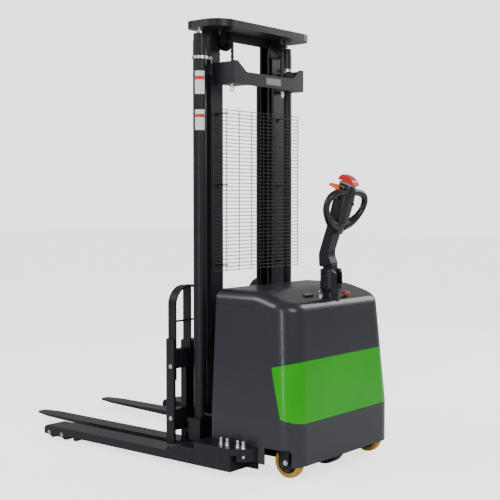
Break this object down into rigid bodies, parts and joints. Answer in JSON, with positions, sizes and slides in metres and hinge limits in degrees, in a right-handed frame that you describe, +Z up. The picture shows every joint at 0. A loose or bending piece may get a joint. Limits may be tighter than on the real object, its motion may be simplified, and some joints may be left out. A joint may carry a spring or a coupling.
{
  "type": "walkie straddle stacker",
  "caption": "Pedestrian straddle stacker with a two-stage mast, chain-lifted forks, a hooded drive unit and a tilting steering tiller.",
  "frame": {"origin": "on the floor, under the centre of the bounding box", "axes": "+X to the operator's left, +Y from the forks back to the operator, +Z up"},
  "size_m": [1.056, 2.047, 2.17],
  "materials": {
    "frame_paint": "semi-gloss powder coat",
    "hood": "gloss moulded",
    "panel": "gloss moulded, bright green",
    "steel": "machined",
    "zinc": "zinc plated",
    "rod": "hard chrome",
    "wheel_pu": "cast polyurethane",
    "tyre": "rubber",
    "chain": "oiled",
    "nylon": "natural nylon",
    "black_plastic": "fine grain",
    "red": "gloss",
    "orange": "gloss",
    "hose_rubber": "matt",
    "aluminium": "cast"
  },
  "bodies": {
    "chassis": {"base_frame": "frame_paint", "leg_clamp_bolts": "zinc", "load_roller_axles": "steel", "mast_crossbeam": "frame_paint", "mast_guide_pads": "nylon", "chain_anchor_bolts": "zinc", "wire_guard": "frame_paint", "cylinder_clamps": "zinc", "rear_hood": "hood", "rear_panel": "panel", "battery_cover": "hood", "charge_indicator": "black_plastic", "battery_pack": "frame_paint", "hydraulic_power_unit": "aluminium", "motor_controller": "black_plastic", "lift_hoses": "hose_rubber", "key_switch": "zinc", "stop_collar": "black_plastic", "straddle_leg_left": "frame_paint", "straddle_leg_right": "frame_paint", "outer_mast_left": "frame_paint", "outer_mast_right": "frame_paint", "lift_cylinder_left": "frame_paint", "lift_cylinder_right": "frame_paint"},
    "inner": {"inner_mast": "frame_paint", "mast_top_plate": "frame_paint", "chain_rear": "chain", "piston_rod_left": "rod", "piston_rod_right": "rod"},
    "mast_roller_pair": {"mast_rollers": "steel"},
    "sheave_left": {"sheave_left": "chain"},
    "sheave_right": {"sheave_right": "chain"},
    "carriage": {"carriage_frame": "frame_paint", "carriage_bolts": "zinc", "chain_front": "chain", "backrest_left": "frame_paint", "backrest_right": "frame_paint"},
    "roller_pair_lower": {"carriage_rollers_lower": "steel"},
    "roller_pair_upper": {"carriage_rollers_upper": "steel"},
    "fork_left": {"fork_left": "frame_paint"},
    "fork_right": {"fork_right": "frame_paint"},
    "drive": {"drive_unit": "aluminium", "tiller_turret": "frame_paint"},
    "drive_wheel": {"drive_wheel": "tyre"},
    "tiller": {"tiller_arm": "frame_paint", "tiller_head": "black_plastic"},
    "lift_button": {"lift_button": "black_plastic"},
    "lower_button": {"lower_button": "black_plastic"},
    "throttle": {"throttle_paddle": "orange"},
    "reverse": {"reverse_button": "red"},
    "stop": {"stop_button": "red"},
    "key": {"ignition_key": "zinc"},
    "load_roller_front_left": {"load_roller_front_left": "tyre"},
    "load_roller_rear_left": {"load_roller_rear_left": "tyre"},
    "caster_left": {"caster_yoke_left": "frame_paint"},
    "caster_wheel_left": {"caster_wheel_left": "wheel_pu"},
    "load_roller_front_right": {"load_roller_front_right": "tyre"},
    "load_roller_rear_right": {"load_roller_rear_right": "tyre"},
    "caster_right": {"caster_yoke_right": "frame_paint"},
    "caster_wheel_right": {"caster_wheel_right": "wheel_pu"}
  },
  "joints": [
    {"name": "mast_lift", "type": "slide", "parent": "chassis", "child": "inner", "axis": [0, 0, 1], "range_m": [0, 1.4], "deforming": ["chain_rear"]},
    {"name": "carriage_lift", "type": "slide", "parent": "inner", "child": "carriage", "axis": [0, 0, 1], "range_m": [0, 1.4], "deforming": ["chain_front"]},
    {"name": "mast_roller_spin", "type": "hinge", "parent": "inner", "child": "mast_roller_pair", "pos_m": [0.24, 0.3015, 0.098], "axis": [1, 0, 0], "continuous": true},
    {"name": "carriage_roller_lower_spin", "type": "hinge", "parent": "carriage", "child": "roller_pair_lower", "pos_m": [0.234, 0.3015, 0.183], "axis": [1, 0, 0], "continuous": true},
    {"name": "carriage_roller_upper_spin", "type": "hinge", "parent": "carriage", "child": "roller_pair_upper", "pos_m": [0.234, 0.3015, 0.505], "axis": [1, 0, 0], "continuous": true},
    {"name": "sheave_left_spin", "type": "hinge", "parent": "inner", "child": "sheave_left", "pos_m": [0.204, 0.3755, 2.082], "axis": [1, 0, 0], "continuous": true},
    {"name": "fork_left_shift", "type": "slide", "parent": "carriage", "child": "fork_left", "axis": [1, 0, 0], "range_m": [-0.05, 0.09]},
    {"name": "load_roller_front_left_spin", "type": "hinge", "parent": "chassis", "child": "load_roller_front_left", "pos_m": [0.4625, -0.6155, 0.032], "axis": [1, 0, 0], "continuous": true},
    {"name": "load_roller_rear_left_spin", "type": "hinge", "parent": "chassis", "child": "load_roller_rear_left", "pos_m": [0.4625, -0.5135, 0.032], "axis": [1, 0, 0], "continuous": true},
    {"name": "caster_left_swivel", "type": "hinge", "parent": "chassis", "child": "caster_left", "pos_m": [0.334, 0.8595, 0.15], "axis": [0, 0, 1], "continuous": true},
    {"name": "caster_left_spin", "type": "hinge", "parent": "caster_left", "child": "caster_wheel_left", "pos_m": [0.334, 0.8795, 0.075], "axis": [1, 0, 0], "continuous": true},
    {"name": "sheave_right_spin", "type": "hinge", "parent": "inner", "child": "sheave_right", "pos_m": [-0.204, 0.3755, 2.082], "axis": [1, 0, 0], "continuous": true},
    {"name": "fork_right_shift", "type": "slide", "parent": "carriage", "child": "fork_right", "axis": [-1, 0, 0], "range_m": [-0.05, 0.09]},
    {"name": "load_roller_front_right_spin", "type": "hinge", "parent": "chassis", "child": "load_roller_front_right", "pos_m": [-0.4625, -0.6155, 0.032], "axis": [1, 0, 0], "continuous": true},
    {"name": "load_roller_rear_right_spin", "type": "hinge", "parent": "chassis", "child": "load_roller_rear_right", "pos_m": [-0.4625, -0.5135, 0.032], "axis": [1, 0, 0], "continuous": true},
    {"name": "caster_right_swivel", "type": "hinge", "parent": "chassis", "child": "caster_right", "pos_m": [-0.334, 0.8595, 0.15], "axis": [0, 0, 1], "continuous": true},
    {"name": "caster_right_spin", "type": "hinge", "parent": "caster_right", "child": "caster_wheel_right", "pos_m": [-0.334, 0.8795, 0.075], "axis": [1, 0, 0], "continuous": true},
    {"name": "steering", "type": "hinge", "parent": "chassis", "child": "drive", "pos_m": [0, 0.8795, 0.3], "axis": [0, 0, 1], "range_deg": [-85, 85]},
    {"name": "drive_wheel_spin", "type": "hinge", "parent": "drive", "child": "drive_wheel", "pos_m": [0, 0.8495, 0.1], "axis": [1, 0, 0], "continuous": true},
    {"name": "tiller_tilt", "type": "hinge", "parent": "drive", "child": "tiller", "pos_m": [0, 0.8755, 0.94], "axis": [-1, 0, 0], "range_deg": [0, 62], "stiffness_Nm_per_rad": 40, "springref_deg": -34.38},
    {"name": "lift_button_press", "type": "slide", "parent": "tiller", "child": "lift_button", "axis": [0, -0.9511, 0.309], "range_m": [0, 0.002], "stiffness_N_per_m": 900, "springref_m": -0.001},
    {"name": "lower_button_press", "type": "slide", "parent": "tiller", "child": "lower_button", "axis": [0, -0.9511, 0.309], "range_m": [0, 0.002], "stiffness_N_per_m": 900, "springref_m": -0.001},
    {"name": "throttle_turn", "type": "hinge", "parent": "tiller", "child": "throttle", "pos_m": [0, 0.9623, 1.33621], "axis": [1, 0, 0], "range_deg": [-18, 18], "stiffness_Nm_per_rad": 0.8},
    {"name": "reverse_press", "type": "slide", "parent": "tiller", "child": "reverse", "axis": [0, -0.309, -0.9511], "range_m": [0, 0.004], "stiffness_N_per_m": 1500, "springref_m": -0.001},
    {"name": "stop_press", "type": "slide", "parent": "chassis", "child": "stop", "axis": [0, 0, -1], "range_m": [0, 0.005]},
    {"name": "key_turn", "type": "hinge", "parent": "chassis", "child": "key", "pos_m": [0.072, 0.8665, 0.835], "axis": [0, 0, 1], "range_deg": [-90, 0]}
  ],
  "couplings": [
    {"joint": "carriage_lift", "follows": "mast_lift", "ratio": 1}
  ]
}
